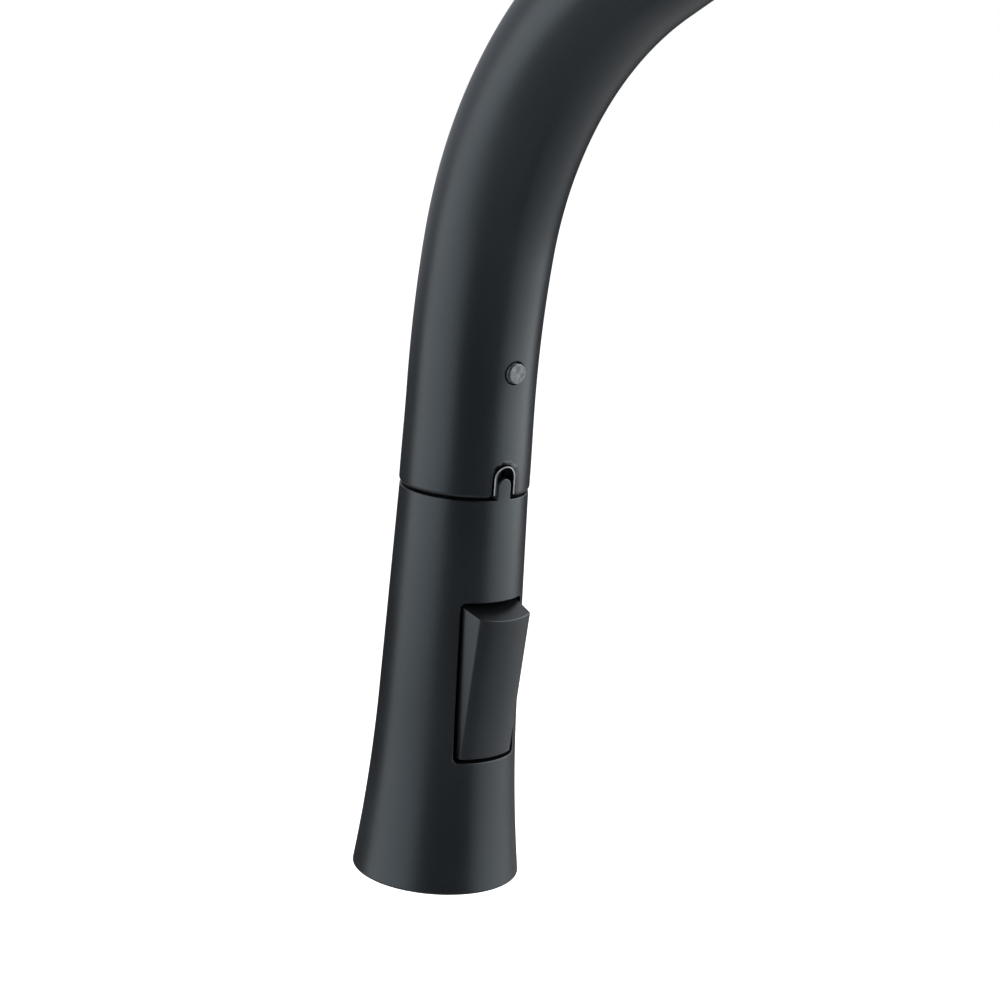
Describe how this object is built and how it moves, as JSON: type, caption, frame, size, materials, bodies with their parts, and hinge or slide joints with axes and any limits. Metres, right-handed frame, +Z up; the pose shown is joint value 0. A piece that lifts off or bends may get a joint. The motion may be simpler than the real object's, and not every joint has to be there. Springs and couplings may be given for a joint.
{
  "type": "pull-down kitchen faucet",
  "caption": "Gooseneck kitchen faucet with a docked pull-down spray head, a rocker that switches stream and spray, a side lever and a threaded shank for a deck hole.",
  "frame": {"origin": "centre of the shank in the plane of the deck, under the base flange", "axes": "+Z up along the body, -X towards the spout's mouth, -Y towards the lever"},
  "size_m": [0.2975, 0.107, 0.5891],
  "materials": {
    "black_metal": "matt black powder coat on brass",
    "black_shell": "matt black coating on moulded ABS",
    "black_moulding": "moulded black acetal",
    "brass": "machined brass",
    "copper": "drawn copper tube",
    "steel": "stainless steel",
    "rubber": "moulded rubber",
    "white_moulding": "moulded acetal",
    "grey_moulding": "moulded grey acetal",
    "ceramic": "lapped alumina",
    "braid": "braided nylon jacket",
    "blue_moulding": "moulded blue acetal",
    "silicone": "moulded silicone",
    "nickel": "nickel plate on brass"
  },
  "bodies": {
    "base": {"base_flange": "black_metal", "base_gasket": "rubber", "body_column": "black_metal", "mounting_shank": "brass", "deck_washer": "rubber", "clamp_washer": "steel", "mounting_nut": "brass", "jack_screws": "steel", "spout_screw": "steel", "cartridge_body": "white_moulding", "cartridge_seals": "rubber", "fixed_disc": "ceramic", "cartridge_nut": "brass", "bonnet_cap": "black_metal", "hose_lower": "braid", "hose_coupling": "brass", "hot_tail": "copper", "cold_tail": "copper", "outlet_tail": "brass"},
    "rotor": {"cartridge_rotor": "white_moulding", "stem_pin": "steel"},
    "disc": {"moving_disc": "ceramic"},
    "lever": {"lever_stem": "steel", "lever_handle": "black_metal", "handle_screw": "steel", "index_plug": "grey_moulding"},
    "spout": {"neck_tube": "black_metal", "spout_collar": "black_metal", "thrust_washer": "white_moulding", "swivel_adapter": "brass", "bearing_rings": "white_moulding", "friction_ring": "rubber", "dock_sleeve": "grey_moulding", "hose_upper": "braid", "button_spring": "steel"},
    "button": {"snap_button": "grey_moulding"},
    "head": {"head_shell": "black_shell", "head_core": "black_moulding", "head_spigot": "brass", "check_valve": "blue_moulding", "hose_nut": "nickel", "hose_washer": "rubber", "rocker_pin": "steel", "flow_plate": "white_moulding", "nozzle_mat": "silicone", "spray_plate": "black_moulding", "face_ring": "grey_moulding", "aerator_cup": "nickel", "aerator_mesh": "steel"},
    "rocker": {"rocker_paddle": "black_shell"},
    "spool": {"diverter_spool": "white_moulding", "spool_seals": "rubber"}
  },
  "joints": [
    {"name": "spout_swivel", "type": "hinge", "parent": "base", "child": "spout", "pos_m": [0, 0, 0.152], "axis": [0, 0, 1], "continuous": true},
    {"name": "head_pull", "type": "slide", "parent": "spout", "child": "head", "axis": [-0.1167, 0, -0.9932], "range_m": [0, 0.32], "deforming": ["hose_upper"]},
    {"name": "rocker_tip", "type": "hinge", "parent": "head", "child": "rocker", "pos_m": [-0.2313, 0, 0.25071], "axis": [0, -1, 0], "range_deg": [0, 15.5]},
    {"name": "spool_slide", "type": "slide", "parent": "head", "child": "spool", "axis": [-0.1167, 0, -0.9932], "range_m": [0, 0.002]},
    {"name": "button_press", "type": "slide", "parent": "spout", "child": "button", "axis": [-0.9932, 0, 0.1167], "range_m": [0, 0.0016], "stiffness_N_per_m": 600, "springref_m": -0.001, "deforming": ["button_spring"]},
    {"name": "lever_turn", "type": "hinge", "parent": "base", "child": "rotor", "pos_m": [0, -0.046, 0.082], "axis": [0, -1, 0], "range_deg": [-45, 45]},
    {"name": "lever_lift", "type": "hinge", "parent": "rotor", "child": "lever", "pos_m": [0, -0.046, 0.082], "axis": [1, 0, 0], "range_deg": [0, 22]},
    {"name": "disc_slide", "type": "slide", "parent": "rotor", "child": "disc", "axis": [0, 0, 1], "range_m": [0, 0.004]}
  ],
  "couplings": [
    {"joint": "spool_slide", "follows": "rocker_tip", "m_per_rad": 0.0073},
    {"joint": "disc_slide", "follows": "lever_lift", "m_per_rad": 0.0103}
  ]
}
